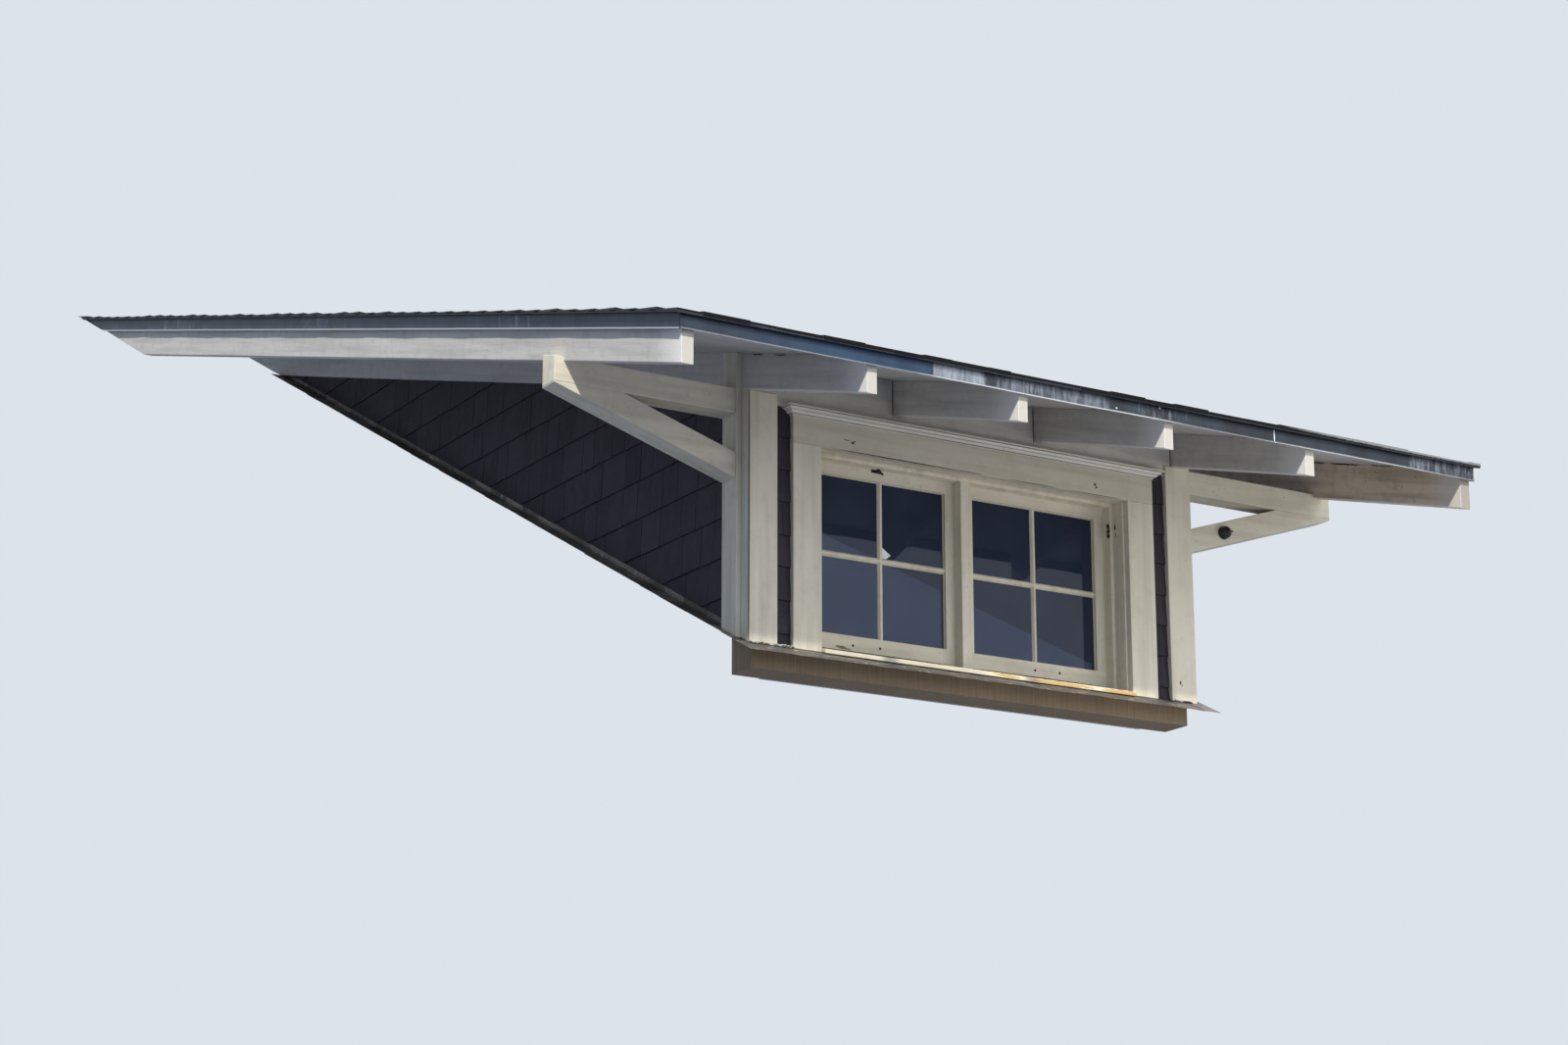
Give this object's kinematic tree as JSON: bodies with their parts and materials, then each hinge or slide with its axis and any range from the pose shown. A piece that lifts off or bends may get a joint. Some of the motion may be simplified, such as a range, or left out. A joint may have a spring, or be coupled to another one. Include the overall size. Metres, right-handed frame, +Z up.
{
  "type": "dormer window",
  "caption": "Shed dormer for a sloping roof: a pair of casement windows under exposed rafters, with bracketed side overhangs and shingled roof and walls.",
  "frame": {"origin": "middle of the level underside of the front wall's sole plate", "axes": "+X to the right along the front wall seen from outside, +Y back up the roof into the building, +Z up"},
  "size_m": [3.35, 5.8787, 2.6219],
  "materials": {
    "painted_trim": "weathered cream paint on timber boards",
    "painted_sash": "weathered cream paint on timber sashes",
    "painted_rafter": "dusty cream-grey paint on rafters and roof boards",
    "wall_shingle": "dark stained sawn shingles",
    "roof_shingle": "charcoal mineral-faced asphalt shingles",
    "edge_metal": "weathered dark painted sheet with a bright hem",
    "flashing_metal": "dull weathered sheet",
    "window_glass": "clear old float glass",
    "lamp_black": "satin black housing",
    "framing_timber": "bare sawn framing",
    "inside_plaster": "flat off-white wall board"
  },
  "bodies": {
    "root": {"front_sole": "framing_timber", "front_wall_left": "framing_timber", "front_wall_right": "framing_timber", "front_header": "framing_timber", "cheek_left": "framing_timber", "cheek_right": "framing_timber", "cheek_sole_left": "framing_timber", "cheek_sole_right": "framing_timber", "front_siding": "wall_shingle", "cheek_siding_left": "wall_shingle", "cheek_siding_right": "wall_shingle", "corner_boards_left": "painted_trim", "corner_boards_right": "painted_trim", "side_casings": "painted_trim", "head_casing": "painted_trim", "crown_moulding": "painted_trim", "frieze_board": "painted_trim", "window_sill": "painted_trim", "window_frame": "painted_trim", "mullion": "painted_trim", "sash_left": "painted_sash", "sash_right": "painted_sash", "glass_left": "window_glass", "glass_right": "window_glass", "apron_flashing": "flashing_metal", "step_flashing_left": "flashing_metal", "step_flashing_right": "flashing_metal", "wall_rafter_1": "painted_rafter", "wall_rafter_2": "painted_rafter", "wall_rafter_3": "painted_rafter", "wall_rafter_4": "painted_rafter", "fly_rafter_left": "painted_rafter", "fly_rafter_right": "painted_rafter", "roof_deck": "painted_rafter", "roofing": "roof_shingle", "edge_front": "edge_metal", "edge_left": "edge_metal", "edge_right": "edge_metal", "bracket_leg_left": "painted_trim", "bracket_arm_left": "painted_trim", "bracket_brace_left": "painted_trim", "bracket_leg_right": "painted_trim", "bracket_arm_right": "painted_trim", "bracket_brace_right": "painted_trim", "brace_lamp": "lamp_black", "front_lining": "inside_plaster", "cheek_lining_left": "inside_plaster", "cheek_lining_right": "inside_plaster"}
  },
  "joints": []
}
